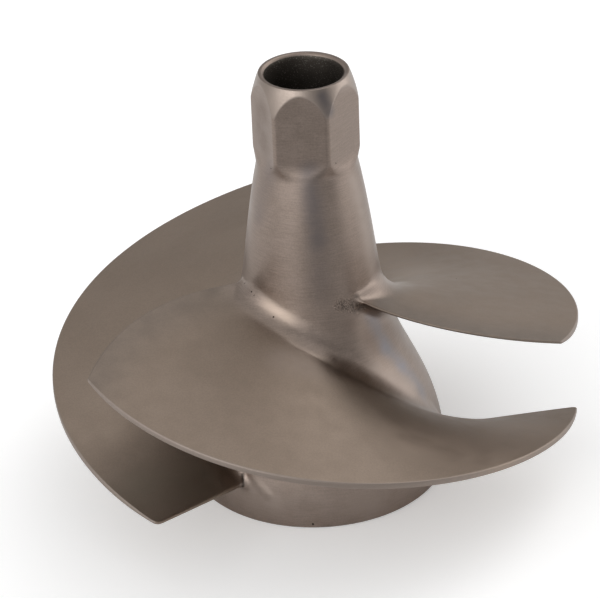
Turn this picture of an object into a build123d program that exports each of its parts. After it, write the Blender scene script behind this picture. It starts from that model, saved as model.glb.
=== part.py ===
"""Axial-flow pump impeller: one investment casting with three helical blades.

Frame: origin on the axis, in the plane of the aft rim; +Z runs towards the nose.
Millimetres and degrees.  Angles turn anticlockwise from +X, seen from the nose.
"""
from build123d import *

import os
from math import atan2, cos, degrees, hypot, radians, sin

# --- overall ---------------------------------------------------------------
tip_diameter = 155.0        # over the blade tips, turned to suit the wear ring
height = 129.0              # aft rim to nose face
blade_count = 3

# --- bulb: cylindrical aft rim, then a bell up to the neck ----------------------
bulb_diameter = 76.2
rim_straight = 3.0          # height of the straight band above the aft rim
rim_break = 0.6             # broken outer edge of the rim
neck_diameter = 29.0
neck_height = 101.5
bell_shoulder = 36.8        # heights and radii of the bell's control polygon
bell_waist_radius = 15.8
bell_waist_height = 45.0
bell_throat_radius = 23.4
bell_throat_height = 57.8
bell_sections = 8           # round sections that the bell is drawn through

# --- nose: hexagon for a spanner, with a turned cone on its end ---------------
hex_across_flats = 27.0
hex_blank_diameter = 30.6   # turned blank, which leaves a narrow land on each corner
hex_angle = -6.0            # direction of one corner
hex_foot = 105.6            # where the corners start to run down into the neck
flat_end = 106.5            # where the flats start to curve out into the neck
flat_run_out = 12.0         # radius of that curve
flat_cutter_depth = 14.0
nose_face_diameter = 25.7
nose_cone_height = 121.6    # where the turned cone meets the hexagon's corners
nose_cone_diameter = 30.4

# --- shaft bore ----------------------------------------------------------------
nose_bore_diameter = 21.4
nose_bore_depth = 24.0
nose_bore_chamfer = 0.5
spline_teeth = 20
spline_major = 20.4
spline_minor = 18.2
spline_space = 1.9          # width of a space at its outer end
spline_flank = 80           # angle of its sides
spline_overrun = 0.6
spline_end = 74.0           # lower end of the spline
spline_cone = 1.5           # height of the cone that leads in to it
relief_diameter = 21.0
relief_end = 68.0
relief_cone = 1.2           # height of the cones at both its ends
thread_minor = 18.4         # M20 x 1.5, left as a plain bore at its minor diameter
thread_chamfer = 1.2
boss_diameter = 31.0
boss_face = 14.0            # aft face of the boss, recessed inside the bulb

# --- hollow behind the bulb --------------------------------------------------------
rim_bore_diameter = 68.0
hollow_shoulder_height = 16.4
hollow_top = 47.0
hollow_top_diameter = 40.0
hollow_arc = 44.0           # rounds the shoulder inside the wall

# --- blades -------------------------------------------------------------------------
blade_inner_radius = 14.0   # the blade is built in to the bulb's core
lead_tip_angle = 214.57     # where the leading edge meets the tip
lead_root_angle = 189.2
lead_root_radius = 18.0
lead_sweep_power = 1.46     # shape of the sweep between root and tip
trail_tip_angle = 353.63
trail_root_angle = 355.2
trail_corner_radius = 1.4
tip_line = (57.21, -19.18, 5.21, -1.48)   # height over angle in radians, a cubic
root_line = (61.9, -4.0, -6.7, 0.0)       # the same for the root
lead_lift = 1.3             # extra height of the root at the leading edge
lead_lift_turn = 25.0       # angle over which that lift dies out
root_line_radius = (20.0, 38.0)           # bulb radius under the blade, lead to trail
root_radius_power = 1.4
tip_thickness = 1.9         # measured upright
root_thickness = 4.4
lead_thickness = 0.8        # left at the sharpened leading edge
trail_thickness = 1.0
lead_taper = 16.0           # length over which each edge is thinned
trail_taper = 22.0
fillet_above = 6.0
fillet_below = 4.0
steps_along = 24            # stations along a blade face
upper_steps, lower_steps = 3, 8   # stations across it
face_tolerance = 0.03
face_margin = 5.0           # degrees by which a face passes the blade's ends
face_overlap = 3.0          # the same at the blade's root and tip, in millimetres

tip_radius = tip_diameter / 2


def lead_angle(radius):
    """Angle of the leading edge, swept back towards the tip."""
    reach = max(radius - lead_root_radius, 0) / (tip_radius - lead_root_radius)
    return lead_root_angle + (lead_tip_angle - lead_root_angle) * reach**lead_sweep_power


def trail_angle(radius):
    """Angle of the trailing edge, almost a radius."""
    reach = (radius - lead_root_radius) / (tip_radius - lead_root_radius)
    return trail_root_angle + (trail_tip_angle - trail_root_angle) * reach


def cubic(terms, angle):
    turn = radians(angle - lead_tip_angle)
    return sum(term * turn**power for power, term in enumerate(terms))


def root_radius(angle):
    """Radius of the bulb under the blade, so that root_line is met at the bulb."""
    share = (angle - lead_root_angle) / (trail_root_angle - lead_root_angle)
    first, last = root_line_radius
    return first + (last - first) * min(max(share, 0), 1)**root_radius_power


def span_share(angle, radius):
    foot = root_radius(angle)
    return (radius - foot) / (tip_radius - foot)


def upper_height(angle, radius):
    """Straight rulings from the root line to the tip line, lifted at the leading root."""
    low = cubic(root_line, angle)
    share = span_share(angle, radius)
    near_lead = max(1 - (angle - lead_root_angle) / lead_lift_turn, 0)
    return low + (cubic(tip_line, angle) - low) * share + lead_lift * near_lead**2 * (1 - share) ** 3


def edge_share(distance, length, thin):
    """1 in the body of the blade, falling to thin at its edge."""
    rest = 1 - min(max(distance / length, 0), 1)
    return 1 - (1 - thin) * rest**2


def thickness(angle, radius):
    body = root_thickness + (tip_thickness - root_thickness) * span_share(angle, radius)
    from_lead = radians(angle - lead_angle(radius)) * radius
    from_trail = radians(trail_angle(radius) - angle) * radius
    share = edge_share(from_lead, lead_taper, lead_thickness / body)
    return body * share * edge_share(from_trail, trail_taper, trail_thickness / body)


def lower_height(angle, radius):
    return upper_height(angle, radius) - thickness(angle, radius)


def polar(radius, angle):
    return (radius * cos(radians(angle)), radius * sin(radians(angle)))


def blade_face(height_at, steps_across):
    """Spline face through the blade's height, a little larger than the blade's plan."""
    first, last = lead_root_angle - face_margin, trail_root_angle + face_margin
    inner, outer = blade_inner_radius - face_overlap, tip_radius + face_overlap
    grid = []
    for step in range(steps_along + 1):
        angle = first + (last - first) * step / steps_along
        radii = [inner + (outer - inner) * k / steps_across for k in range(steps_across + 1)]
        grid.append([Vector(*polar(radius, angle), height_at(angle, radius)) for radius in radii])
    return Face.make_surface_from_array_of_points(grid, tol=face_tolerance)


# --- the blade: its plan outline stood up, cut below its upper and above its lower face --
with BuildPart() as blade:
    with BuildSketch() as plan:
        with BuildLine():
            steps = [k / 6 for k in range(7)]
            lead_radii = [blade_inner_radius + k * (tip_radius - blade_inner_radius) for k in steps]
            lead = Spline([polar(radius, lead_angle(radius)) for radius in lead_radii])
            mid_angle = (lead_tip_angle + trail_tip_angle) / 2
            tip = ThreePointArc(lead @ 1, polar(tip_radius, mid_angle), polar(tip_radius, trail_tip_angle))
            trail = Line(tip @ 1, polar(blade_inner_radius, trail_root_angle))
            ThreePointArc(trail @ 1, polar(blade_inner_radius, mid_angle), lead @ 0)
        make_face()
        fillet(plan.vertices().sort_by_distance(tip @ 1)[0], trail_corner_radius)
    extrude(amount=height)
    extrude(blade_face(upper_height, upper_steps), amount=height, dir=(0, 0, -1), mode=Mode.INTERSECT)
    extrude(blade_face(lower_height, lower_steps), amount=height, dir=(0, 0, 1), mode=Mode.INTERSECT)


def is_root_edge(edge):
    """Long edge where a blade meets the bulb."""
    places = [edge @ share for share in (0, 0.5, 1)]
    inside = all(hypot(place.X, place.Y) < bulb_diameter / 2 + 1 for place in places)
    return inside and edge.length > 5 and edge.geom_type != GeomType.CIRCLE


def lies_on(edge, height_at):
    """True where the middle of the edge lies on that face of one of the blades."""
    middle = edge @ 0.5
    radius = hypot(middle.X, middle.Y)
    for turn in range(-3, 4):
        angle = degrees(atan2(middle.Y, middle.X)) + turn * 360 / blade_count
        if lead_root_angle < angle < trail_root_angle:
            if abs(height_at(angle, radius) - middle.Z) < root_thickness / 10:
                return True
    return False


# --- cutters for the nose ------------------------------------------------------------------
with BuildPart() as flat_cutter:
    with BuildSketch(Plane.XZ) as flat_section:
        with Locations((hex_across_flats / 2, flat_end - flat_run_out)):
            Rectangle(flat_cutter_depth, height - flat_end + flat_run_out, align=Align.MIN)
        fillet(flat_section.vertices().sort_by(Axis.X)[:2].sort_by(Axis.Z)[0], flat_run_out)
    extrude(amount=hex_across_flats / 2, both=True)

with BuildPart() as spline_cutter:
    with BuildSketch(Plane.XY.offset(spline_end)):
        with Locations((spline_minor / 4 + spline_major / 4, 0)):
            depth = (spline_major - spline_minor) / 2 + spline_overrun
            Trapezoid(spline_space, depth, spline_flank, rotation=-90)
    extrude(amount=height - nose_bore_depth - spline_end)

# --- turned body: rim, bell, neck and the blank for the hexagon ---------------------------
with BuildPart() as impeller:
    bell = Bezier(
        (bulb_diameter / 2, rim_straight),
        (bulb_diameter / 2, bell_shoulder),
        (bell_waist_radius, bell_waist_height),
        (bell_throat_radius, bell_throat_height),
        (neck_diameter / 2, neck_height),
    )
    for step in range(bell_sections + 1):
        place = bell @ (step / bell_sections)
        with BuildSketch(Plane.XY.offset(place.Y)):
            Circle(place.X)
    loft()
    with BuildSketch(Plane.XZ) as nose_section:
        with BuildLine():
            Polyline(
                (0, neck_height),
                (neck_diameter / 2, neck_height),
                (hex_blank_diameter / 2, hex_foot),
                (hex_blank_diameter / 2, height),
                (0, height),
                close=True,
            )
        make_face()
    revolve(axis=Axis.Z)
    with BuildSketch(Plane.XZ) as rim_section:
        with BuildLine():
            Polyline(
                (0, 0),
                (bulb_diameter / 2 - rim_break, 0),
                (bulb_diameter / 2, rim_break),
                (bulb_diameter / 2, rim_straight),
                (0, rim_straight),
                close=True,
            )
        make_face()
    revolve(axis=Axis.Z)
    with PolarLocations(0, blade_count):
        add(blade.part)

    # root fillets: large above, where the flow turns, and smaller below
    root_edges = impeller.edges().filter_by(is_root_edge)
    fillet(root_edges.filter_by(lambda edge: lies_on(edge, upper_height)), fillet_above)
    root_edges = impeller.edges().filter_by(is_root_edge)
    fillet(root_edges.filter_by(lambda edge: lies_on(edge, lower_height)), fillet_below)

    # nose: six flats, each run out by the cutter's radius, then the turned cone
    with PolarLocations(0, 6, start_angle=hex_angle + 30):
        add(flat_cutter.part, mode=Mode.SUBTRACT)
    with BuildSketch(Plane.XZ):
        with BuildLine():
            Polyline(
                (nose_face_diameter / 2, height),
                (nose_cone_diameter / 2, nose_cone_height),
                (hex_blank_diameter, nose_cone_height),
                (hex_blank_diameter, height),
                close=True,
            )
        make_face()
    revolve(axis=Axis.Z, mode=Mode.SUBTRACT)

    # hollow behind the bulb, around the boss that carries the thread
    with BuildSketch(Plane.XZ) as hollow_section:
        with BuildLine():
            FilletPolyline(
                (rim_bore_diameter / 2, 0),
                (rim_bore_diameter / 2, hollow_shoulder_height),
                (hollow_top_diameter / 2, hollow_top),
                (boss_diameter / 2, hollow_top),
                (boss_diameter / 2, boss_face),
                radius=[hollow_arc, 0, 0],
            )
            Polyline((boss_diameter / 2, boss_face), (0, boss_face), (0, 0), (rim_bore_diameter / 2, 0))
        make_face()
    revolve(axis=Axis.Z, mode=Mode.SUBTRACT)

    # shaft bore, turned from both ends
    with BuildSketch(Plane.XZ):
        with BuildLine():
            Polyline(
                (0, height),
                (nose_bore_diameter / 2 + nose_bore_chamfer, height),
                (nose_bore_diameter / 2, height - nose_bore_chamfer),
                (nose_bore_diameter / 2, height - nose_bore_depth),
                (spline_minor / 2, height - nose_bore_depth - spline_cone),
                (spline_minor / 2, spline_end),
                (relief_diameter / 2, spline_end - relief_cone),
                (relief_diameter / 2, relief_end),
                (thread_minor / 2, relief_end - relief_cone),
                (thread_minor / 2, boss_face + thread_chamfer),
                (thread_minor / 2 + thread_chamfer, boss_face),
                (0, boss_face),
                close=True,
            )
        make_face()
    revolve(axis=Axis.Z, mode=Mode.SUBTRACT)
    with PolarLocations(0, spline_teeth):
        add(spline_cutter.part, mode=Mode.SUBTRACT)

os.makedirs("parts", exist_ok=True)
impeller.part.label = "impeller"
export_step(impeller.part, "parts/impeller.step")
print(impeller.part.volume, len(impeller.solids()), len(impeller.faces()), impeller.part.is_valid)
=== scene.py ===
"""Studio picture of a cast stainless pump impeller with three helical blades.

Lengths are millimetres and angles degrees until the mesh is made, which is in metres.
Frame: origin on the axis in the plane of the aft rim, +Z towards the nose.
The casting is one closed mesh: three blades with their root fillets, the bulb's outside in
three equal sectors round them, the nose, then the bore, spline, thread and hollow inside.
"""

from math import cos, pi, radians, sin, tan

import bmesh
import bpy
import numpy as np
from mathutils import Matrix, Vector, geometry, kdtree


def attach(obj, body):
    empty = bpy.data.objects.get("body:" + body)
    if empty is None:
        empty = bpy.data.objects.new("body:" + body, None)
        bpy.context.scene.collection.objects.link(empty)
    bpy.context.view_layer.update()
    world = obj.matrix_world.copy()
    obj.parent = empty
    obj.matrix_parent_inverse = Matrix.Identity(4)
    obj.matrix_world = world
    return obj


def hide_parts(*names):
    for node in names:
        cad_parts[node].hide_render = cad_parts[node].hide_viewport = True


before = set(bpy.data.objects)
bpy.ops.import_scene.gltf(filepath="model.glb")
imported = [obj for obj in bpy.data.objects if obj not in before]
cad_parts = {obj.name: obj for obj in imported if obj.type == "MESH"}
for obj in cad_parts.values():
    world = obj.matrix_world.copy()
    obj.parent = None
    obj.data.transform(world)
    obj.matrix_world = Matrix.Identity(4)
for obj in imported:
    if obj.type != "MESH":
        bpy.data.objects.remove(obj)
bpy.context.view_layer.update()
MM = 0.001

# --- bulb, neck and nose --------------------------------------------------------------------------
HEIGHT = 129.0
BULB_RADIUS = 38.1
RIM_BREAK = 0.6
BELL = ((BULB_RADIUS, 3.0), (BULB_RADIUS, 36.8), (15.8, 45.0), (23.4, 57.8),
        (14.5, 101.5))                       # control polygon, as radius and height
BELL_POINTS, BELL_LEFT_OFF = 600, 20         # the last points give way to the neck's fillet
NECK_FILLET, BLANK_ROUND = 5.0, 1.5
BLANK_RADIUS = 15.3
HEX_ANGLE, HEX_SIDES = -6.0, 6
HEX_FOOT = 105.6
FLAT_DISTANCE, FLAT_END, FLAT_RUN_OUT = 13.5, 106.5, 12.0
FLAT_RUN_OUT_DEPTH = 0.7                     # share of its radius that the run-out goes down
CONE = np.array([(129.0, 12.85), (127.7, 13.42), (125.6, 14.1), (123.4, 14.76), (121.4, 15.22),
                 (119.0, 15.7)])             # height and radius of the turned end
CONE_FOOT = CONE[-1, 0]
NOSE_BREAK = 0.22
JOIN_HEIGHT = 100.0                          # where the bulb's mesh meets the nose's

# --- inside ---------------------------------------------------------------------------------------
BORE_RADIUS, BORE_DEPTH = 10.7, 24.0
MOUTH_RADIUS, MOUTH_CHAMFER = 11.3, 0.55     # the bore opens slightly towards its mouth
SPLINE_TEETH, SPLINE_MAJOR, SPLINE_MINOR = 20, 10.2, 9.1
SPLINE_END, SPLINE_LEAD = 74.0, 1.5
RELIEF_RADIUS, RELIEF_END, RELIEF_SLOPE = 10.5, 68.0, 1.3
THREAD_MINOR, THREAD_DEPTH, THREAD_PITCH = 9.2, 0.75, 1.5
THREAD_CHAMFER, THREAD_FADE = 1.2, 1.5
BOSS_RADIUS, BOSS_FACE, BOSS_ROUND = 15.5, 14.0, 0.5
BOSS_FLAT_RADIUS = BOSS_RADIUS - 2.5         # where the boss's face starts in the mesh
RIM_BORE_RADIUS, RIM_ROUND = 34.0, 0.5
HOLLOW_SHOULDER, HOLLOW_TOP, HOLLOW_TOP_RADIUS = 16.4, 47.0, 20.0
HOLLOW_ARC, HOLLOW_CORNER, HOLLOW_FOOT = 44.3, 2.0, 1.0

# --- blades ---------------------------------------------------------------------------------------
BLADES = 3
BLADE_TURN = 360 / BLADES
TIP_RADIUS = 77.49                           # a hair inside the CAD model's box
LEAD_TIP_ANGLE, LEAD_ROOT_ANGLE, LEAD_ROOT_RADIUS, LEAD_POWER = 214.57, 189.2, 18.0, 1.46
TRAIL_TIP_ANGLE, TRAIL_ROOT_ANGLE, TRAIL_CORNER = 353.63, 355.2, 2.0
TIP_LINE = (57.21, -19.18, 5.21, -1.48)      # height as a cubic of the turn in radians, at the tip
ROOT_LINE = (61.9, -4.0, -6.7, 0.0)          # and at the root
ROOT_LINE_RADIUS, ROOT_LINE_POWER = (20.0, 38.0), 1.4   # radius of that line, first and last
LEAD_LIFT, LEAD_LIFT_TURN = 1.3, 25.0        # the leading edge's root stands a little higher
TIP_THICKNESS, ROOT_THICKNESS = 1.9, 4.4
LEAD_THICKNESS, TRAIL_THICKNESS = 0.8, 1.0
LEAD_TAPER, TRAIL_TAPER = 16.0, 22.0
FILLET_ABOVE, FILLET_BELOW, FILLET_EDGE = 7.0, 4.5, 3.0
FILLET_GROWTH = 14.0                         # run over which a fillet grows to its full radius
ROOT_RUN_LEAD, ROOT_RUN_TRAIL = 101.75, 138.75   # run along the root for a share of 1, near each edge
SOFTEN = np.array([1, 2, 3, 2, 1]) / 9       # evens out the fillet's reach along the root
LEAST_ROOT, GREATEST_ROOT, LONGEST_FILLET = 13.0, 45.0, 16.0   # radii between which these are sought
HALVINGS = 50
TIP_BREAK, TIP_CROWN = 0.4, 0.42             # the tip's rounding: radial depth, share of the thickness

# --- density of the mesh --------------------------------------------------------------------------
ALONG = 150                                  # points along a blade's face
CROWDING = 0.11                              # how much they draw together towards the edges
TRAIL_CAP, LEAD_CAP = 9, 13
FILLET_ROWS = 11
SPAN_SHARES = np.concatenate([np.linspace(0, 1, 33)[1:-1] * 0.965, [0.975, 0.984, 0.991, 0.996, 1.0]])
TIP_TURNS = (22.5, 45, 67.5, 90)
SKIN_GRAIN, SKIN_ROW, SKIN_CLEAR = 1.1, 0.87, 0.55   # the bulb's triangles; shares of that size
HEX_STEPS = (4, 8, 12, 16, 20, 23, 25.2, 26.6, 27.5, 27.95, 28.3, 29.0)   # from a flat's middle to its edge
RIM_STEP, THREAD_STEP, THREAD_ROWS = 1.5, 7.5, 6
ARC_STEP, HOLLOW_ARC_STEP, HOLLOW_STEP = 0.25, 0.9, 2.2
SMOOTH_ANGLE, WELD = 32, 2e-7


# --- shape functions, on arrays -------------------------------------------------------------------
def rounded(corners, radii, step=ARC_STEP):
    """Points along straight lines whose corners are rounded by arcs, close together."""
    corners = [np.array(corner, float) for corner in corners]
    path = [corners[0]]
    for before, here, after, radius in zip(corners, corners[1:], corners[2:], radii):
        into, out = unit(here - before), unit(after - here)
        turn = np.arctan2(into[0] * out[1] - into[1] * out[0], into @ out)
        start = here - into * radius * tan(abs(turn) / 2)
        centre = start + np.sign(turn) * np.array([-into[1], into[0]]) * radius
        spoke = start - centre
        count = max(int(abs(turn) * radius / step), 4)
        for angle in np.linspace(0, turn, count + 1):
            path.append(centre + np.array([spoke[0] * cos(angle) - spoke[1] * sin(angle),
                                           spoke[0] * sin(angle) + spoke[1] * cos(angle)]))
    path.append(corners[-1])
    return np.array(path)


def bezier(polygon, count):
    """Points along a Bezier curve, by repeated mixing of its control polygon."""
    share = np.linspace(0, 1, count)[:, None]
    points = [np.broadcast_to(np.array(p, float), (count, 2)) for p in polygon]
    while len(points) > 1:
        points = [a * (1 - share) + b * share for a, b in zip(points, points[1:])]
    return points[0]


def unit(vectors):
    return vectors / np.linalg.norm(vectors, axis=-1, keepdims=True)


def dots(a, b):
    return np.sum(a * b, axis=-1, keepdims=True)


def smooth_step(share):
    share = np.clip(share, 0, 1)
    return share * share * (3 - 2 * share)


def halve(low, high, past):
    """The places between low and high at which past turns true."""
    for _ in range(HALVINGS):
        middle = (low + high) / 2
        beyond = past(middle)
        high = np.where(beyond, middle, high)
        low = np.where(beyond, low, middle)
    return (low + high) / 2


def ring_points(radius, angles, height):
    radius = np.broadcast_to(radius, angles.shape)
    height = np.broadcast_to(height, angles.shape)
    turns = np.radians(angles)
    return np.stack([radius * np.cos(turns), radius * np.sin(turns), height], axis=-1)


def turned(points, angle):
    """The points turned about the axis."""
    c, s = cos(radians(angle)), sin(radians(angle))
    x, y, z = np.asarray(points).T
    return np.stack([x * c - y * s, x * s + y * c, z], axis=-1)


def on_each_blade(points):
    return np.concatenate([turned(points, blade * BLADE_TURN) for blade in range(BLADES)])


# --- the body's outline: rim, bell, neck and blank ------------------------------------------------
bell = bezier(BELL, BELL_POINTS)[:-BELL_LEFT_OFF]
neck = rounded([bell[-1], BELL[-1], (BLANK_RADIUS, HEX_FOOT), (BLANK_RADIUS, HEIGHT)],
               [NECK_FILLET, BLANK_ROUND])
OUTER = np.concatenate([[(BULB_RADIUS, RIM_BREAK)], bell, neck[1:]])
OUTER_LENGTH = np.concatenate([[0], np.cumsum(np.hypot(*np.diff(OUTER, axis=0).T))])


def body_radius(height):
    return np.interp(height, OUTER[:, 1], OUTER[:, 0])


def body_length(height):
    return np.interp(height, OUTER[:, 1], OUTER_LENGTH)


def body_height(length):
    return np.interp(length, OUTER_LENGTH, OUTER[:, 1])


def on_body(points):
    """The points moved straight in or out on to the body's surface."""
    scale = body_radius(points[:, 2]) / np.hypot(points[:, 0], points[:, 1])
    return np.stack([points[:, 0] * scale, points[:, 1] * scale, points[:, 2]], axis=-1)


def body_normal(points, rise=0.05):
    slope = (body_radius(points[:, 2] + rise) - body_radius(points[:, 2] - rise)) / (2 * rise)
    radius = np.hypot(points[:, 0], points[:, 1])
    return unit(np.stack([points[:, 0] / radius, points[:, 1] / radius, -slope], axis=-1))


# --- the blade's surfaces, by angle and radius ----------------------------------------------------
def lead_angle(radius):
    reach = np.maximum(radius - LEAD_ROOT_RADIUS, 0) / (TIP_RADIUS - LEAD_ROOT_RADIUS)
    return LEAD_ROOT_ANGLE + (LEAD_TIP_ANGLE - LEAD_ROOT_ANGLE) * reach**LEAD_POWER


def trail_angle(radius):
    reach = (radius - LEAD_ROOT_RADIUS) / (TIP_RADIUS - LEAD_ROOT_RADIUS)
    angle = TRAIL_ROOT_ANGLE + (TRAIL_TIP_ANGLE - TRAIL_ROOT_ANGLE) * reach
    into = np.clip(radius - (TIP_RADIUS - TRAIL_CORNER), 0, TRAIL_CORNER)
    back = TRAIL_CORNER - np.sqrt(TRAIL_CORNER**2 - into**2)
    return angle - np.degrees(back / radius)


def cubic(terms, angle):
    turn = np.radians(angle - LEAD_TIP_ANGLE)
    return sum(term * turn**power for power, term in enumerate(terms))


def root_radius(angle):
    share = np.clip((angle - LEAD_ROOT_ANGLE) / (TRAIL_ROOT_ANGLE - LEAD_ROOT_ANGLE), 0, 1)
    first, last = ROOT_LINE_RADIUS
    return first + (last - first) * share**ROOT_LINE_POWER


def span_share(angle, radius):
    """0 on the root line and 1 at the tip."""
    foot = root_radius(angle)
    return (radius - foot) / (TIP_RADIUS - foot)


def upper_height(angle, radius):
    low = cubic(ROOT_LINE, angle)
    share = span_share(angle, radius)
    near_lead = np.maximum(1 - (angle - LEAD_ROOT_ANGLE) / LEAD_LIFT_TURN, 0)
    return low + (cubic(TIP_LINE, angle) - low) * share + LEAD_LIFT * near_lead**2 * (1 - share) ** 3


def upper_slope(angle, radius, step=0.5):
    """Rise of the upper face per millimetre round the axis."""
    rise = upper_height(angle + step, radius) - upper_height(angle - step, radius)
    return rise / np.radians(2 * step) / radius


def edge_share(distance, length, thin):
    """Share of the thickness that is left near an edge, down to the share thin on the edge."""
    rest = 1 - np.clip(distance / length, 0, 1)
    return 1 - (1 - thin) * rest**2


def thickness(angle, radius):
    body = ROOT_THICKNESS + (TIP_THICKNESS - ROOT_THICKNESS) * span_share(angle, radius)
    from_lead = np.radians(angle - lead_angle(radius)) * radius
    from_trail = np.radians(trail_angle(radius) - angle) * radius
    share = edge_share(from_lead, LEAD_TAPER, LEAD_THICKNESS / body)
    return body * share * edge_share(from_trail, TRAIL_TAPER, TRAIL_THICKNESS / body)


# --- one closed loop of blade section: upper face, trailing cap, lower face, leading cap ----------
ease = np.linspace(0, 1, ALONG)
ease = ease - CROWDING * np.sin(2 * pi * ease)
trail_turn = np.radians(np.linspace(90, -90, TRAIL_CAP + 2)[1:-1])
lead_turn = np.radians(np.linspace(-90, 90, LEAD_CAP + 2)[1:-1])
level = np.zeros(ALONG)
LOOP_SHARE = np.concatenate([ease, np.ones(TRAIL_CAP), ease[::-1], np.zeros(LEAD_CAP)])
LOOP_SIDE = np.concatenate([level + 1, np.sin(trail_turn), level - 1, np.sin(lead_turn)])
LOOP_OUT = np.concatenate([level, np.cos(trail_turn), level, -np.cos(lead_turn)])
LOOP = len(LOOP_SHARE)
UPPER = slice(0, ALONG)
TRAIL = slice(ALONG, ALONG + TRAIL_CAP)
LOWER = slice(ALONG + TRAIL_CAP, 2 * ALONG + TRAIL_CAP)
LEAD = slice(2 * ALONG + TRAIL_CAP, LOOP)


def blade_points(radius, inset=0.0, which=slice(None)):
    """The loop's points at these radii, thinned by the share inset, as rows of x, y and z."""
    share, side, out = LOOP_SHARE[which], LOOP_SIDE[which], LOOP_OUT[which]
    lead_in, trail_in = LEAD_THICKNESS / 2, TRAIL_THICKNESS / 2
    first = lead_angle(radius) + np.degrees(lead_in / radius)
    last = trail_angle(radius) - np.degrees(trail_in / radius)
    angle = first + (last - first) * share
    half = thickness(angle, radius) / 2
    middle = upper_height(angle, radius) - half
    reach = np.where(out < 0, lead_in, trail_in) * (1 - inset) * out
    height = middle + half * (1 - inset) * side + upper_slope(angle, radius) * reach
    return ring_points(radius, angle + np.degrees(reach / radius), height)


# --- the blade with its root fillet, once ---------------------------------------------------------
def root_line():
    """Points at which the lines of the loop meet the bulb, and their radii."""
    def outside(radius):
        return radius > body_radius(blade_points(radius)[:, 2])

    radius = halve(np.full(LOOP, LEAST_ROOT), np.full(LOOP, GREATEST_ROOT), outside)
    return blade_points(radius), radius


def fillet_radii():
    """Large above, smaller below, least round the two edges, changing gently."""
    full = np.where(LOOP_SIDE > 0, FILLET_ABOVE, FILLET_BELOW)
    grown = smooth_step(LOOP_SHARE * ROOT_RUN_LEAD / FILLET_GROWTH)
    grown = grown * smooth_step((1 - LOOP_SHARE) * ROOT_RUN_TRAIL / FILLET_GROWTH)
    return np.where(LOOP_OUT != 0, FILLET_EDGE, FILLET_EDGE + (full - FILLET_EDGE) * grown)


def away_from_blade(corner):
    """Directions from the root line towards the outside of the section."""
    swing = np.arctan2(corner[:, 1], corner[:, 0])
    return np.stack([-np.sin(swing) * LOOP_OUT, np.cos(swing) * LOOP_OUT, LOOP_SIDE], axis=-1)


def fillet(corner, root, step=0.5):
    """Rows from the bulb to the blade along conic arcs, and the blade's radii where they end."""
    along = unit(np.roll(corner, -1, axis=0) - np.roll(corner, 1, axis=0))
    step_out = blade_points(root + step) - corner
    blade_way = unit(step_out - dots(step_out, along) * along)
    body_way = unit(np.cross(body_normal(corner), along))
    body_way = body_way * np.sign(dots(body_way, away_from_blade(corner)))
    angle = np.arccos(np.clip(dots(body_way, blade_way), -1, 1))[:, 0]
    reach = fillet_radii() / np.tan(angle / 2)
    reach = np.convolve(np.concatenate([reach[-2:], reach, reach[:2]]), SOFTEN, mode="valid")

    def past_reach(radius):
        return dots(blade_points(radius) - corner, blade_way)[:, 0] >= reach

    end = halve(root, root + LONGEST_FILLET, past_reach)
    on_blade = blade_points(end)
    knee = corner + dots(on_blade - corner, along) * along
    foot = on_body(knee + body_way * reach[:, None])
    weight = np.sin(angle / 2)[:, None]
    rows = []
    for share in np.linspace(0, 1, FILLET_ROWS):
        a, b, c = (1 - share) ** 2, 2 * share * (1 - share) * weight, share**2
        rows.append((foot * a + knee * b + on_blade * c) / (a + b + c))
    return rows, end


def blade_rows(end):
    """Rows from the end of the fillet out over the rounded tip."""
    inner_tip = TIP_RADIUS - TIP_BREAK
    rows = [blade_points(end + (inner_tip - end) * share) for share in SPAN_SHARES]
    for turn in np.radians(TIP_TURNS):
        radius = np.full(LOOP, inner_tip + TIP_BREAK * sin(turn))
        rows.append(blade_points(radius, TIP_CROWN * (1 - cos(turn))))
    return rows


root_points, root_radii = root_line()
fillet_rows, fillet_end = fillet(root_points, root_radii)
BLADE_RINGS = fillet_rows + blade_rows(fillet_end)


# --- mesh building --------------------------------------------------------------------------------
class Skin:
    """Vertices and faces gathered piece by piece, in millimetres."""

    def __init__(self):
        self.points = []
        self.faces = []

    def add(self, points):
        first = len(self.points)
        self.points.extend(map(tuple, points))
        return list(range(first, len(self.points)))

    def bridge(self, one, two, closed=True):
        """Quads between two rows of the same count."""
        count = len(one)
        for k in range(count if closed else count - 1):
            n = (k + 1) % count
            self.faces.append((one[k], one[n], two[n], two[k]))

    def bridge_all(self, rings):
        for one, two in zip(rings, rings[1:]):
            self.bridge(one, two)

    def by_angle(self, ring):
        """The ring's indices in order round the axis, with their angles."""
        x, y = np.array([self.points[index][:2] for index in ring]).T
        angles = np.degrees(np.arctan2(y, x)) % 360
        return [ring[k] for k in np.argsort(angles)], np.sort(angles)

    def zipper(self, one, two):
        """Triangles between two rings about the axis that have different counts."""
        one, a = self.by_angle(one)
        two, b = self.by_angle(two)
        a, b = np.append(a, [a[0] + 360, np.inf]), np.append(b, [b[0] + 360, np.inf])
        i = j = 0
        while i < len(one) or j < len(two):
            near, far = one[i % len(one)], two[j % len(two)]
            if a[i + 1] <= b[j + 1]:
                i += 1
                self.faces.append((near, one[i % len(one)], far))
            else:
                j += 1
                self.faces.append((near, two[j % len(two)], far))

    def close_cap(self, pair, cap):
        """Faces across one rounded end of a blade's tip, from its first pair of corners."""
        middle = len(cap) // 2
        for k in range(middle):
            across = (cap[k], cap[-1 - k])
            self.faces.append((pair[0], across[0], across[1], pair[1]))
            pair = across
        self.faces.append((pair[0], cap[middle], pair[1]))


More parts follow.
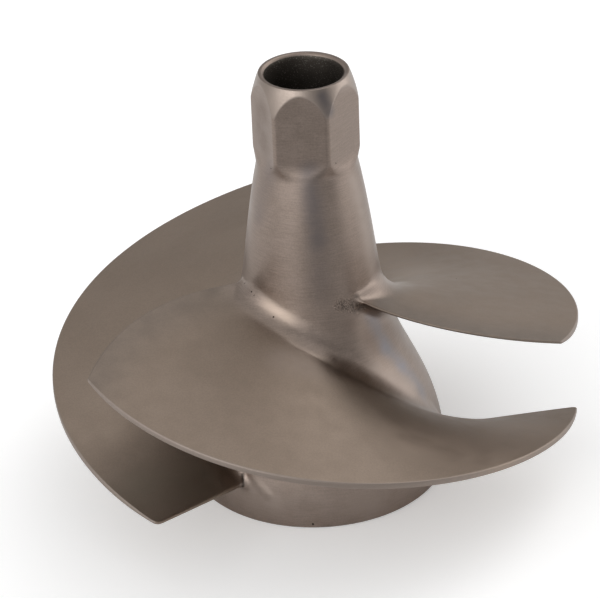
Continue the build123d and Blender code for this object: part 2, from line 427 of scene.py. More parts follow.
# --- one third of the bulb's skin, between two helical cuts ---------------------------------------
sector = [0, *HEX_STEPS, 30, *(60 - step for step in reversed(HEX_STEPS))]
NOSE_ANGLES = np.array([HEX_ANGLE + 30 + 60 * side + step for side in range(HEX_SIDES) for step in sector])
NOSE_ANGLES = np.sort(NOSE_ANGLES % 360)
RIM_ANGLES = np.arange(0, 360, RIM_STEP)
THREAD_ANGLES = np.arange(0, 360, THREAD_STEP)
KEEP_INSIDE, EPSILON = 1, 1e-9               # delaunay_2d_cdt's output_type and epsilon
CUT_START = NOSE_ANGLES[np.argmin(abs(NOSE_ANGLES - 150))]
CUT = ((CUT_START, JOIN_HEIGHT), (165, 70), (176, 58), (187, 50), (210, 43), (238, 34), (260, 22),
       (280, 8), (285, RIM_BREAK))           # angle and height down the cut, clear of the blades' roots
FLAT_RADIUS = 25.0                           # radius at which the bulb is laid flat
FILL_START, FILL_TURN = 120, 300             # degrees that hold the whole sector


def laid_flat(pairs):
    """Pairs of angle and height as places on the unrolled bulb."""
    return np.stack([np.radians(pairs[:, 0]) * FLAT_RADIUS, body_length(pairs[:, 1])], axis=-1)


def on_bulb(pairs):
    return ring_points(body_radius(pairs[:, 1]), pairs[:, 0], pairs[:, 1])


def inside(places, polygon):
    """Which places a polygon holds."""
    result = np.zeros(len(places), bool)
    for (x0, y0), (x1, y1) in zip(polygon, np.roll(polygon, -1, axis=0)):
        if y0 != y1:
            crosses = (places[:, 1] >= min(y0, y1)) & (places[:, 1] < max(y0, y1))
            result ^= crosses & (places[:, 0] < x0 + (places[:, 1] - y0) * (x1 - x0) / (y1 - y0))
    return result


def nearest(points):
    """A function that gives a place's distance from the nearest of the points."""
    tree = kdtree.KDTree(len(points))
    for index, point in enumerate(points):
        tree.insert(point, index)
    tree.balance()
    return lambda place: tree.find(place)[2]


def sector_outline():
    """Angles and heights round the sector: down one cut, along the rim, up the next cut, back on top."""
    cut = []
    for (turn, height), (next_turn, next_height) in zip(CUT, CUT[1:]):
        run = radians(next_turn - turn) * body_radius(height)
        count = max(int(np.hypot(height - next_height, run) / SKIN_GRAIN), 1)
        cut += [(turn + (next_turn - turn) * k / count, height - (height - next_height) * k / count)
                for k in range(count)]
    rim_turns = np.arange(CUT[-1][0], CUT[-1][0] + BLADE_TURN, RIM_STEP)
    rim = np.stack([rim_turns, np.full(len(rim_turns), RIM_BREAK)], axis=-1)
    next_cut = np.array([*cut, CUT[-1]])[::-1] + [BLADE_TURN, 0]
    tops = np.sort(np.concatenate([NOSE_ANGLES, NOSE_ANGLES + 360]))
    tops = tops[(tops > CUT_START + 0.01) & (tops < CUT_START + BLADE_TURN - 0.01)][::-1]
    top = np.stack([tops, np.full(len(tops), JOIN_HEIGHT)], axis=-1)
    return np.concatenate([cut, rim, next_cut, top])


def bulb_fill():
    """Angles and heights of evenly spread points, more than one sector of them."""
    fill = []
    spacing = SKIN_GRAIN * SKIN_ROW
    for number, length in enumerate(np.arange(spacing, body_length(JOIN_HEIGHT), spacing)):
        height = body_height(length)
        count = int(round(2 * pi * body_radius(height) / SKIN_GRAIN))
        turns = FILL_START + (np.arange(int(count * FILL_TURN / 360)) + 0.5 * (number % 2)) * 360 / count
        fill.extend((turn, height) for turn in turns)
    return np.array(fill)


def bulb_sector(hole):
    """Points and triangles of the bulb's outside around one blade's root."""
    outline = sector_outline()
    turns = np.degrees(np.arctan2(hole[:, 1], hole[:, 0])) % 360
    hole_pairs = np.stack([np.where(turns < 90, turns + 360, turns), hole[:, 2]], axis=-1)
    outline_plane, hole_plane = laid_flat(outline), laid_flat(hole_pairs)
    fill = bulb_fill()
    fill_plane = laid_flat(fill)
    fill = fill[inside(fill_plane, outline_plane) & ~inside(fill_plane, hole_plane)]
    to_edge = nearest(np.concatenate([on_bulb(outline), hole]))
    fill = [pair for pair, place in zip(fill, on_bulb(fill)) if to_edge(place) > SKIN_GRAIN * SKIN_CLEAR]

    pairs = np.concatenate([outline, hole_pairs, fill])
    plane = laid_flat(pairs)
    count, count_hole = len(outline), len(hole)
    edges = [(k, (k + 1) % count) for k in range(count)]
    edges += [(count + k, count + (k + 1) % count_hole) for k in range(count_hole)]
    result = geometry.delaunay_2d_cdt([Vector(p) for p in plane], edges, [], KEEP_INSIDE, EPSILON)
    triangles, origin = result[2], result[3]
    faces = np.array([[origin[k][0] for k in triangle] for triangle in triangles])
    faces = faces[~inside(plane[faces].mean(axis=1), hole_plane)]
    points = on_bulb(pairs)
    points[count:count + count_hole] = hole
    return points, faces


def add_blades(skin):
    """Each blade with its fillet, its tip face and its third of the bulb."""
    sector_points, sector_faces = bulb_sector(BLADE_RINGS[0])
    for blade in range(BLADES):
        turn = blade * BLADE_TURN
        base = skin.add(turned(sector_points, turn))
        skin.faces.extend(tuple(base[k] for k in face) for face in sector_faces)
        rings = [skin.add(turned(row, turn)) for row in BLADE_RINGS]
        skin.bridge_all(rings)
        tip = rings[-1]
        upper, lower = tip[UPPER], tip[LOWER][::-1]
        skin.bridge(upper, lower, closed=False)
        skin.close_cap((upper[-1], lower[-1]), tip[TRAIL])
        skin.close_cap((lower[0], upper[0]), tip[LEAD])


# --- nose: neck, flats, turned cone and mouth -----------------------------------------------------
flat_reach = 1 / np.cos(np.radians(abs((NOSE_ANGLES - HEX_ANGLE) % 60 - 30)))
NECK_ROWS = (100, 100.7, 101.3, 101.9, 102.4, 102.9, 103.4, 103.9, 104.4, 104.9, 105.4, 105.9, 106.5, 107.2,
             108, 109.5, 111.5, 113.5, 115.5, 117.5, 119)
SCALLOP_ROWS = (-1.6, -1.0, -0.6, -0.35, -0.2, -0.1, 0, 0.1, 0.2, 0.35, 0.6)   # about the scallops' line
FLAT_SOFTNESS, FOOT_SOFTNESS, FOOT_REACH = 0.16, 0.5, 4.0     # blend of a flat's edge, and more at its foot
CONE_SOFTNESS, JOIN_BLEND = 0.14, 0.8
BELOW_SCALLOPS, ABOVE_SCALLOPS = (0.25, 0.5, 0.75), (0.3, 0.6, 0.85)   # shares of the way up
BREAK_TURNS = (0, 30, 60, 90)
MOUTH_ROWS = ((12.4, 0), (MOUTH_RADIUS + MOUTH_CHAMFER + 0.1, 0), (MOUTH_RADIUS + MOUTH_CHAMFER, 0.05),
              (MOUTH_RADIUS + 0.06, MOUTH_CHAMFER), (MOUTH_RADIUS, MOUTH_CHAMFER + 0.12),
              (MOUTH_RADIUS - 0.1, 2), (MOUTH_RADIUS - 0.4, 5), (BORE_RADIUS, 9), (BORE_RADIUS, 13),
              (BORE_RADIUS, 17), (BORE_RADIUS, 21), (BORE_RADIUS, BORE_DEPTH))   # radius and depth


def soft_min(a, b, blend):
    """The smaller of two values, blended where they are close."""
    share = np.clip(0.5 + 0.5 * (b - a) / blend, 0, 1)
    return b + (a - b) * share - blend * share * (1 - share)


def cone_radius(height):
    return np.interp(height, CONE[::-1, 0], CONE[::-1, 1])


def flat_distance(height):
    """Distance of a flat from the axis, curving out at its foot."""
    below = np.clip(FLAT_END - height, 0, FLAT_RUN_OUT * FLAT_RUN_OUT_DEPTH)
    return FLAT_DISTANCE + FLAT_RUN_OUT - np.sqrt(FLAT_RUN_OUT**2 - below**2)


def nose_ring(height):
    """The nose at a height that may differ from column to column: flats cut into the body, and the cone."""
    softness = FLAT_SOFTNESS + FOOT_SOFTNESS * smooth_step((FLAT_END - height) / FOOT_REACH)
    radius = soft_min(flat_distance(height) * flat_reach, body_radius(height), softness)
    above_join = smooth_step((height - JOIN_HEIGHT) / JOIN_BLEND)
    radius = body_radius(height) * (1 - above_join) + radius * above_join
    return ring_points(soft_min(radius, cone_radius(height), CONE_SOFTNESS), NOSE_ANGLES, height)


def add_nose(skin):
    """The nose's outside and its bore; gives the bore's last ring."""
    blank = np.minimum(FLAT_DISTANCE * flat_reach, BLANK_RADIUS)
    scallop = np.interp(blank, CONE[:, 1], CONE[:, 0])
    lower, upper, top = scallop + SCALLOP_ROWS[0], scallop + SCALLOP_ROWS[-1], HEIGHT - NOSE_BREAK
    rows = [np.full(len(NOSE_ANGLES), float(height)) for height in NECK_ROWS]
    rows += [CONE_FOOT + (lower - CONE_FOOT) * share for share in BELOW_SCALLOPS]
    rows += [scallop + offset for offset in SCALLOP_ROWS]
    rows += [upper + (top - upper) * share for share in ABOVE_SCALLOPS]
    rings = [skin.add(nose_ring(row)) for row in rows]
    for turn in np.radians(BREAK_TURNS):
        radius = cone_radius(top) - NOSE_BREAK * (1 - cos(turn))
        rings.append(skin.add(ring_points(radius, NOSE_ANGLES, top + NOSE_BREAK * sin(turn))))
    rings += [skin.add(ring_points(radius, NOSE_ANGLES, HEIGHT - depth)) for radius, depth in MOUTH_ROWS]
    skin.bridge_all(rings)
    return rings[-1]


# --- spline, relief and thread inside -------------------------------------------------------------
SPACE_SHARES = (0, 0.12, 0.26, 0.34, 0.5, 0.66, 0.74, 0.88)   # places across one tooth and one space
SPACE_DEPTHS = (0, 0, 0, 1, 1, 1, 0, 0)


def add_spline(skin, bore_end):
    pitch = 360 / SPLINE_TEETH
    angles = np.concatenate([(tooth + np.array(SPACE_SHARES)) * pitch for tooth in range(SPLINE_TEETH)])
    angles = (angles - pitch / 2) % 360
    radius = SPLINE_MINOR + (SPLINE_MAJOR - SPLINE_MINOR) * np.tile(SPACE_DEPTHS, SPLINE_TEETH)
    order = np.argsort(angles)
    angles, radius = angles[order], radius[order]
    top = HEIGHT - BORE_DEPTH
    rings = [skin.add(ring_points(SPLINE_MAJOR, angles, top))]
    for height in (top - SPLINE_LEAD, (top + SPLINE_END) / 2, SPLINE_END):
        rings.append(skin.add(ring_points(radius, angles, height)))
    skin.zipper(bore_end, rings[0])
    skin.bridge_all(rings)
    return rings[-1]


def add_thread(skin, spline_end):
    """Relief groove and helical thread, down to the boss's face."""
    top, foot = RELIEF_END - RELIEF_SLOPE, BOSS_FACE + THREAD_CHAMFER
    rings = [skin.add(ring_points(radius, THREAD_ANGLES, height)) for radius, height in
             ((RELIEF_RADIUS, SPLINE_END - 0.4), (RELIEF_RADIUS, RELIEF_END), (THREAD_MINOR, top))]
    skin.zipper(spline_end, rings[0])
    count = int((top - foot) / THREAD_PITCH * THREAD_ROWS)
    for height in np.linspace(top, foot, count + 1)[1:]:
        wave = 0.5 - 0.5 * np.cos(2 * pi * (height / THREAD_PITCH + THREAD_ANGLES / 360))
        depth = THREAD_DEPTH * smooth_step((top - height) / THREAD_FADE) * wave
        rings.append(skin.add(ring_points(THREAD_MINOR + depth, THREAD_ANGLES, height)))
    rings.append(skin.add(ring_points(THREAD_MINOR + THREAD_CHAMFER, THREAD_ANGLES, BOSS_FACE)))
    skin.bridge_all(rings)
    return rings[-1]


# --- boss, hollow and rim -------------------------------------------------------------------------
def add_hollow(skin, thread_end):
    line = rounded([(BOSS_FLAT_RADIUS, BOSS_FACE), (BOSS_RADIUS, BOSS_FACE), (BOSS_RADIUS, HOLLOW_TOP),
                    (HOLLOW_TOP_RADIUS, HOLLOW_TOP), (RIM_BORE_RADIUS, HOLLOW_SHOULDER),
                    (RIM_BORE_RADIUS, 0), (BULB_RADIUS - RIM_BREAK, 0)],
                   [BOSS_ROUND, HOLLOW_FOOT, HOLLOW_CORNER, HOLLOW_ARC, RIM_ROUND], HOLLOW_ARC_STEP)
    rows = [line[0]]
    for here, after in zip(line, line[1:]):
        count = max(int(np.linalg.norm(after - here) / HOLLOW_STEP), 1)
        rows.extend(here + (after - here) * k / count for k in range(1, count + 1))
    rings = [skin.add(ring_points(radius, RIM_ANGLES, max(height, 0.0))) for radius, height in rows]
    rings.append(skin.add(ring_points(BULB_RADIUS, RIM_ANGLES, RIM_BREAK)))
    skin.zipper(thread_end, rings[0])
    skin.bridge_all(rings)


# --- one welded mesh ------------------------------------------------------------------------------
def finish_mesh(name, skin):
    mesh = bpy.data.meshes.new(name)
    mesh.from_pydata((np.array(skin.points) * MM).tolist(), [], skin.faces)
    work = bmesh.new()
    work.from_mesh(mesh)
    bmesh.ops.remove_doubles(work, verts=work.verts, dist=WELD)
    bmesh.ops.recalc_face_normals(work, faces=work.faces)
    for edge in work.edges:
        edge.smooth = edge.is_manifold and edge.calc_face_angle(0) < radians(SMOOTH_ANGLE)
    for face in work.faces:
        face.smooth = True
    work.to_mesh(mesh)
    triangles = sum(len(face.verts) - 2 for face in work.faces)
    open_edges = sum(not edge.is_manifold for edge in work.edges)
    volume = work.calc_volume() / MM**3
    print("mesh", name, "triangles", triangles, "open edges", open_edges, "volume", volume)
    work.free()
    piece = bpy.data.objects.new(name, mesh)
    bpy.context.scene.collection.objects.link(piece)
    return piece


skin = Skin()
add_blades(skin)
bore_end = add_nose(skin)
spline_end = add_spline(skin, bore_end)
thread_end = add_thread(skin, spline_end)
add_hollow(skin, thread_end)
impeller = finish_mesh("impeller_casting", skin)


# --- material -------------------------------------------------------------------------------------
class Graph:
    """Short-hand for building a node tree."""

    def __init__(self, tree):
        self.tree = tree

    def node(self, kind, **settings):
        made = self.tree.nodes.new(kind)
        for name, value in settings.items():
            setattr(made, name, value)
        return made

    def feed(self, socket, value):
        if hasattr(value, "is_output"):
            self.tree.links.new(value, socket)
        elif value is not None:
            socket.default_value = value

    def feed_all(self, made, *values, output=0):
        """Feed the node's first inputs in order and give one of its outputs."""
        for socket, value in zip(made.inputs, values):
            self.feed(socket, value)
        return made.outputs[output]

    def math(self, operation, a, b=None, c=None, clamp=False):
        return self.feed_all(self.node("ShaderNodeMath", operation=operation, use_clamp=clamp), a, b, c)

    def times(self, a, b):
        return self.math("MULTIPLY", a, b)

    def times_add(self, a, b, c, clamp=False):
        return self.math("MULTIPLY_ADD", a, b, c, clamp)

    def vector(self, operation, a, b, output=0):
        """Vector arithmetic; the output is 0 for a vector and "Value" for a number."""
        return self.feed_all(self.node("ShaderNodeVectorMath", operation=operation), a, b, output=output)

    def ramp(self, value, low, high, out_low=0.0, out_high=1.0):
        made = self.node("ShaderNodeMapRange", interpolation_type="SMOOTHSTEP")
        return self.feed_all(made, value, low, high, out_low, out_high)

    def mix(self, share, a, b, blend="MIX"):
        made = self.node("ShaderNodeMix", data_type="RGBA", blend_type=blend)
        self.feed(made.inputs[0], share)
        self.feed(made.inputs[6], a)
        self.feed(made.inputs[7], b)
        return made.outputs[2]

    def noise(self, where, scale, detail=3.0, roughness=0.55):
        made = self.node("ShaderNodeTexNoise")
        self.feed(made.inputs["Vector"], where)
        self.feed(made.inputs["Scale"], scale)
        self.feed(made.inputs["Detail"], detail)
        self.feed(made.inputs["Roughness"], roughness)
        return made.outputs["Fac"]

    def split(self, colour):
        made = self.node("ShaderNodeSeparateColor")
        self.feed(made.inputs[0], colour)
        return made.outputs

    def attribute(self, name):
        return self.node("ShaderNodeAttribute", attribute_name=name).outputs

    def stroke(self, where, start, end, width):
        """1 on the line from start to end, falling to 0 at this distance from it."""
        start, end = Vector(start), Vector(end)
        way = end - start
        from_start = self.vector("SUBTRACT", where, start)
        along = self.vector("DOT_PRODUCT", from_start, way / way.length_squared, "Value")
        foot = self.node("ShaderNodeVectorMath", operation="SCALE")
        self.feed(foot.inputs[0], way)
        self.feed(foot.inputs["Scale"], self.math("ADD", along, 0.0, clamp=True))
        off = self.vector("DISTANCE", from_start, foot.outputs[0], "Value")
        return self.ramp(off, width, 0.0)

    def bump(self, height, depth, normal=None):
        made = self.node("ShaderNodeBump")
        made.inputs["Strength"].default_value = 1.0
        self.feed(made.inputs["Distance"], depth * MM)
        self.feed(made.inputs["Height"], height)
        self.feed(made.inputs["Normal"], normal)
        return made.outputs[0]


def grey(value):
    return (value, value, value, 1)


# noises: scale per millimetre, detail and roughness; stretched noises: scale along x, y and z
BROAD, CLOUD = (0.035, 3, 0.5), (0.16, 4, 0.6)
GRAIN, FINE, SPECKS = (2.2, 2, 0.6), (6.0, 2, 0.7), (3.2, 1, 0.5)
GROUND, SCRATCHES = (0.22, 0.22, 4.5), (4.5, 1.2, 1.4)
# the stretches of noise that go from one end of an effect to the other
MIDDLE, BROAD_MIDDLE, SCRATCH_EDGE, SPECK_EDGE = (0.3, 0.7), (0.35, 0.65), (0.44, 0.58), (0.60, 0.72)
PAINTED_LIGHT_EDGE, PAINTED_LIGHT_EVENNESS = (0.25, 0.6), (0.5, 1.0)   # the painted light and shade are weaker where the cloud noise is low
SPECKLE, STREAK = (0.93, 1.07), (0.93, 1.08)  # how far the grain and the grinding darken and lighten
HATCH_SHARE, PIT_SHARE = 0.6, 0.85
# bump depths in millimetres, before what the fillets smooth away
CLOUD_DEPTH, GRAIN_DEPTH, GROUND_DEPTH, PIT_DEPTH, FILLET_SMOOTHING = 0.07, 0.018, 0.02, 0.25, -0.8
# roughness as cast, and what is added to it
CAST_ROUGHNESS, GRAIN_ROUGHNESS = (0.50, 0.57), (-0.03, 0.03)
HUB_ROUGHNESS, TURNED_ROUGHNESS, PIT_ROUGHNESS, BORE_ROUGHNESS = -0.165, -0.02, 0.4, 0.12

BLADE_DARK, BLADE_LIGHT = (0.280, 0.222, 0.178, 1), (0.298, 0.237, 0.191, 1)
HUB_DARK, HUB_LIGHT = (0.280, 0.224, 0.190, 1), (0.302, 0.243, 0.209, 1)
TURNED = (0.315, 0.262, 0.228, 1)
# the bore and the hollow are painted dark as shade, with lighter specks
PAINTED_BORE_SHADE, BORE_SPECK = (0.12, 0.105, 0.09, 1), (0.34, 0.31, 0.28, 1)
# the groove's colour is painted shade along its line
PAINTED_GROOVE_SHADE, SCRATCH, PIT = (0.03, 0.025, 0.02, 1), (0.05, 0.042, 0.036, 1), (0.02, 0.015, 0.012, 1)
# colours of the painted light and shade: bluish painted reflection, warm painted light, brown painted
# shade, dark painted reflection, pale painted light; OLIVE is a lighter olive tint
PAINTED_BLUE_REFLECTION, PAINTED_WARM_LIGHT, PAINTED_BROWN_SHADE = (0.25, 0.25, 0.275, 1), (0.38, 0.315, 0.275, 1), (0.225, 0.172, 0.142, 1)
PAINTED_DARK_REFLECTION, PAINTED_PALE_LIGHT, OLIVE = (0.17, 0.15, 0.15, 1), (0.375, 0.300, 0.245, 1), (0.300, 0.258, 0.205, 1)
# darker and greyer metal within LEAD_WIDTH of a leading edge
LEAD_TINT, LEAD_SHARES, LEAD_WIDTH = (0.222, 0.183, 0.155, 1), (0.595, 0.85), 17.0
# tiny cavities: cells per millimetre, least and greatest cell value, largest radius in cells
CELLS_PER_MM, CELL_VALUES, LARGEST_TINY_PIT = 0.09, (0.45, 1.0), 0.028
PIT_RIM, PIT_FLOOR = 1.7, 1.1                # shares of a placed pit's radius, on its wobbling outline
# larger cavities left by the casting, as x, y, z and radius
PITS = ((-19.3, -6.6, 65.0, 0.24), (-18.9, -7.6, 64.7, 0.2), (-17.4, -11.4, 64.8, 0.26),
        (-16.6, -12.6, 64.3, 0.2), (-11.3, -19.1, 60.6, 0.24), (-10.2, -10.7, 104.1, 0.22),
        (8.1, -11.9, 105.6, 0.2), (9.6, -10.9, 103.0, 0.15), (-2.3, -38.0, 1.6, 0.35))
# soft patches of painted light and shade (painted reflections, painted highlights, painted shade) and one
# olive patch: start, end, width, colour and strength
# painted reflection: a bluish band down the bulb's right side
PAINTED_LIGHT_AND_SHADE = (((17.0, -13.9, 57.0), (20.6, -13.8, 46.7), 4.6, PAINTED_BLUE_REFLECTION, 0.55),
          ((20.6, -13.8, 46.7), (25.4, -12.2, 38.8), 4.6, PAINTED_BLUE_REFLECTION, 0.55),
          ((25.4, -12.2, 38.8), (31.5, -10.3, 28.0), 4.6, PAINTED_BLUE_REFLECTION, 0.55),
          # painted highlight on the bulb's right side
          ((17.3, -20.2, 42.2), (28.1, -14.0, 31.9), 5.0, PAINTED_WARM_LIGHT, 0.7),
          # painted shade beside the bluish painted reflection on the bulb
          ((11.0, -18.9, 57.5), (17.6, -16.5, 48.4), 4.5, PAINTED_BROWN_SHADE, 0.5),
          # painted dark reflections down the front of the neck
          ((0.6, -14.3, 104.5), (1.9, -17.4, 84.0), 5.0, PAINTED_DARK_REFLECTION, 0.7),
          ((-10.5, -10.3, 104.0), (-14.4, -8.2, 88.0), 5.0, PAINTED_DARK_REFLECTION, 0.35),
          # painted shade on the left flat of the hex
          ((-12.2, -5.8, 119.0), (-12.4, -5.4, 110.0), 8.0, PAINTED_BROWN_SHADE, 1.2),
          # painted dark reflection on the cone's front
          ((5.0, -12.8, 127.0), (6.6, -12.6, 122.5), 3.2, PAINTED_DARK_REFLECTION, 0.9),
          # painted highlight on the cone's right
          ((10.9, -7.4, 128.3), (12.3, -4.0, 127.5), 4.0, PAINTED_WARM_LIGHT, 0.8),
          # painted highlight in the front blade's root fillet
          ((-12.5, -16.6, 63.2), (-7.5, -19.8, 60.6), 5.0, PAINTED_PALE_LIGHT, 0.6),
          # painted light on the back right blade near the hub
          ((20.0, 62.0, 34.0), (30.0, 36.0, 42.0), 16.0, PAINTED_PALE_LIGHT, 0.7),
          # painted reflection of the floor along the bulb's lower front
          ((-17.0, -33.5, 9.0), (14.0, -35.0, 6.0), 9.0, PAINTED_WARM_LIGHT, 0.5),
          ((-25.0, -28.5, 8.0), (-15.0, -35.0, 8.0), 8.0, PAINTED_WARM_LIGHT, 0.45),
          ((17.0, -34.0, 6.0), (28.0, -26.0, 8.0), 8.0, PAINTED_WARM_LIGHT, 0.45),
          # painted highlight along the neck's right edge
          ((13.2, -8.0, 98.0), (17.4, -8.4, 70.0), 4.5, PAINTED_WARM_LIGHT, 0.8),
          # painted highlight on the front blade just beyond its root fillet
          ((-9.0, -32.0, 54.0), (1.0, -32.0, 51.0), 9.0, PAINTED_WARM_LIGHT, 0.45),
          # painted light on the front blade's right part, where the blade above shades it
          ((27.0, -52.0, 38.2), (46.0, -50.0, 33.6), 17.0, PAINTED_PALE_LIGHT, 1.0),
          ((46.0, -50.0, 33.6), (60.0, -30.0, 26.0), 17.0, PAINTED_PALE_LIGHT, 1.0),
          ((-34.0, -38.0, 18.3), (-50.0, -48.5, 22.5), 14.0, OLIVE, 0.6),
          # painted dark reflection, continuing the neck's front band downwards
          ((1.9, -17.4, 84.0), (2.6, -20.0, 68.0), 5.5, PAINTED_DARK_REFLECTION, 0.3))
# one groove and three raised creases: start, end, width, height and how much painted shade darkens them
STROKES = (((-22.1, -30.4, 14.8), (-22.2, -31.9, 11.6), 0.8, -0.08, 0.9),
           ((-19.5, -31.6, 14.5), (-15.0, -34.6, 10.0), 2.4, 0.14, 0.0),
           ((-5.5, -23.9, 56.0), (5.0, -25.6, 50.3), 2.8, 0.17, 0.0),
           ((-15.5, -13.7, 64.4), (-1.5, -21.6, 57.6), 2.4, 0.08, 0.0))
# scratched by a grinder, just below a leading edge: start, end and width
HATCH = ((8.2, -18.7, 63.4), (13.6, -16.9, 61.2), 3.2)


# where the material's zones end, in millimetres
HUB_FADE_START, HUB_FADE = 0.5, 7.0          # how far out from the bulb
TIP_ZONE = TIP_BREAK * 0.9
BORE_FOOT, HOLLOW_ZONE, BORE_WALL = 20, (1, 50), 2   # heights, and the least metal outside the bore


def pitted(graph, where, fine):
    """1 in the placed cavities and 0.5 in tiny ones spread over the metal."""
    cells = graph.node("ShaderNodeTexVoronoi", feature="F1")
    graph.feed(cells.inputs["Vector"], where)
    graph.feed(cells.inputs["Scale"], CELLS_PER_MM)
    size = graph.ramp(graph.split(cells.outputs["Color"])[0], *CELL_VALUES, 0.0, LARGEST_TINY_PIT)
    pits = graph.times(graph.math("LESS_THAN", cells.outputs["Distance"], size), 0.5)
    for x, y, z, radius in PITS:
        off = graph.vector("DISTANCE", where, (x, y, z), "Value")
        wobble = graph.times_add(fine, radius, off)
        pits = graph.math("MAXIMUM", pits, graph.ramp(wobble, radius * PIT_RIM, radius * PIT_FLOOR))
    return pits


def satin_steel():
    """Satin cast steel: plain on the blades, ground on the hub, turned at the nose, painted dark as shade
    in the bore and the hollow, with patches of painted light and shade.
    """
    material = bpy.data.materials.new("satin_steel")
    material.use_nodes = True
    shader = material.node_tree.nodes["Principled BSDF"]
    graph = Graph(material.node_tree)
    metres = graph.node("ShaderNodeTexCoord").outputs["Object"]
    where = graph.vector("MULTIPLY", metres, (1 / MM, 1 / MM, 1 / MM))
    zones = graph.attribute("zones")
    hub, turned_part, bore = graph.split(zones["Color"])[:3]
    fillet_zone = zones["Alpha"]
    lead = graph.attribute("lead")["Fac"]

    cloud, grain = graph.noise(where, *CLOUD), graph.noise(where, *GRAIN)
    broad, fine = graph.noise(where, *BROAD), graph.noise(where, *FINE)
    ground = graph.noise(graph.vector("MULTIPLY", where, GROUND), 1.0, 3, 0.6)
    scratches = graph.noise(graph.vector("MULTIPLY", where, SCRATCHES), 1.0, 2, 0.6)
    hatch = graph.times(graph.stroke(where, *HATCH), graph.ramp(scratches, *SCRATCH_EDGE))
    pits = pitted(graph, where, fine)

    blade_colour = graph.mix(graph.ramp(broad, *BROAD_MIDDLE), BLADE_DARK, BLADE_LIGHT)
    lead_share = graph.times(lead, graph.ramp(cloud, *MIDDLE, *LEAD_SHARES))
    blade_colour = graph.mix(lead_share, blade_colour, LEAD_TINT)
    hub_colour = graph.mix(graph.ramp(cloud, *MIDDLE), HUB_DARK, HUB_LIGHT)
    colour = graph.mix(hub, blade_colour, hub_colour)
    speckle = graph.mix(graph.ramp(grain, *MIDDLE), *map(grey, SPECKLE))
    colour = graph.mix(1.0, colour, speckle, "MULTIPLY")
    streak = graph.mix(graph.ramp(ground, *MIDDLE), *map(grey, STREAK))
    colour = graph.mix(hub, colour, graph.mix(1.0, colour, streak, "MULTIPLY"))
    colour = graph.mix(turned_part, colour, TURNED)
    uneven = graph.ramp(cloud, *PAINTED_LIGHT_EDGE, *PAINTED_LIGHT_EVENNESS)
    # patches of painted light and shade laid over the metal's colour
    for start, end, width, tint, strength in PAINTED_LIGHT_AND_SHADE:
        painted_patch = graph.times(graph.stroke(where, start, end, width), uneven)
        colour = graph.mix(graph.times(painted_patch, strength), colour, tint)
    relief = 0.0
    for start, end, width, height, shade in STROKES:
        mark = graph.stroke(where, start, end, width)
        relief = graph.times_add(mark, height, relief)
        # the groove's dark line is painted shade
        if shade:
            colour = graph.mix(graph.times(mark, shade), colour, PAINTED_GROOVE_SHADE)
    colour = graph.mix(graph.times(hatch, HATCH_SHARE), colour, SCRATCH)
    colour = graph.mix(graph.times(pits, PIT_SHARE), colour, PIT)
    specks = graph.ramp(graph.noise(where, *SPECKS), *SPECK_EDGE)
    # painted shade in the bore and the hollow
    colour = graph.mix(bore, colour, graph.mix(specks, PAINTED_BORE_SHADE, BORE_SPECK))
    graph.feed(shader.inputs["Base Color"], colour)
    graph.feed(shader.inputs["Metallic"], 1.0)

    rough = graph.ramp(cloud, *MIDDLE, *CAST_ROUGHNESS)
    rough = graph.math("ADD", rough, graph.ramp(grain, *MIDDLE, *GRAIN_ROUGHNESS))
    rough = graph.times_add(graph.math("MAXIMUM", hub, fillet_zone), HUB_ROUGHNESS, rough)
    rough = graph.times_add(turned_part, TURNED_ROUGHNESS, rough)
    rough = graph.times_add(pits, PIT_ROUGHNESS, rough, clamp=True)
    rough = graph.times_add(bore, BORE_ROUGHNESS, rough, clamp=True)
    graph.feed(shader.inputs["Roughness"], rough)

    coarse = graph.times_add(fillet_zone, FILLET_SMOOTHING, 1.0)
    normal = graph.bump(cloud, CLOUD_DEPTH)
    normal = graph.bump(graph.times(grain, coarse), GRAIN_DEPTH, normal)
    normal = graph.bump(graph.times(graph.times(ground, hub), coarse), GROUND_DEPTH, normal)
    normal = graph.bump(relief, 1.0, normal)
    normal = graph.bump(graph.times(graph.math("MAXIMUM", pits, hatch), -1), PIT_DEPTH, normal)
    graph.feed(shader.inputs["Normal"], normal)
    return material


